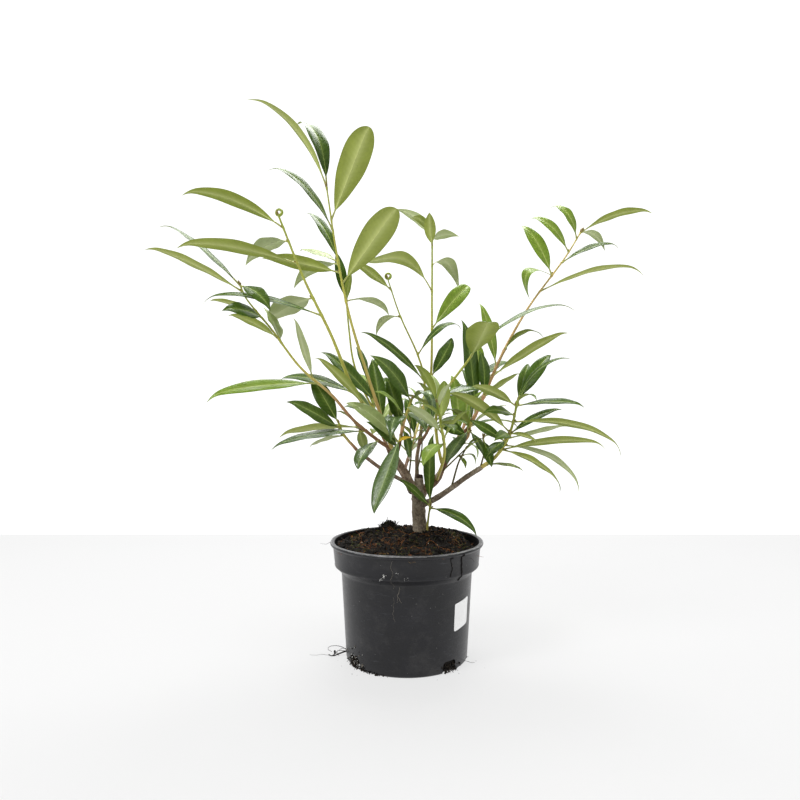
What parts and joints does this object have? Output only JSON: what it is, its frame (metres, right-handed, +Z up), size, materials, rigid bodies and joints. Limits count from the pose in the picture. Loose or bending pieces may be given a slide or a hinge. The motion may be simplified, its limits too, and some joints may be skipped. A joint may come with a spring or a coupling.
{
  "type": "potted cherry laurel",
  "caption": "Young evergreen cherry laurel shrub with long glossy leaves on slender shoots, standing in a round black nursery pot of compost.",
  "frame": {"origin": "middle of the pot's flat underside, on the ground", "axes": "+Z up; -Y is the side seen from the front; +X to the right from the front"},
  "size_m": [0.6315, 0.3658, 0.6596],
  "materials": {
    "pot_plastic": "semi-matt charcoal plastic with a soft sheen, scuffed and dusty",
    "soil": "moist dark peat compost with fibres and white crumbs",
    "bark": "rough grey-brown bark with pale spots, redder on the younger wood",
    "foliage": "leathery leaves, glossy dark green above and dull yellow-green below, on yellow-green stems"
  },
  "bodies": {
    "root": {"pot": "pot_plastic", "soil": "soil", "trunk": "bark", "bough_left": "bark", "bough_right": "bark", "bough_low_right": "bark", "bough_low_left": "bark", "bough_middle": "bark", "bough_back_left": "bark", "bough_back_right": "bark", "left_leader": "foliage", "left_spray": "foliage", "left_slender": "foliage", "far_left_spray": "foliage", "low_left_spray": "foliage", "heart_front": "foliage", "heart_middle": "foliage", "middle_leader": "foliage", "slender_shoot": "foliage", "right_leader": "foliage", "short_right_shoot": "foliage", "right_spray": "foliage", "right_heart": "foliage", "back_left_spray": "foliage", "back_middle_spray": "foliage", "back_right_spray": "foliage", "front_spray": "foliage", "foot_shoot": "foliage"}
  },
  "joints": []
}
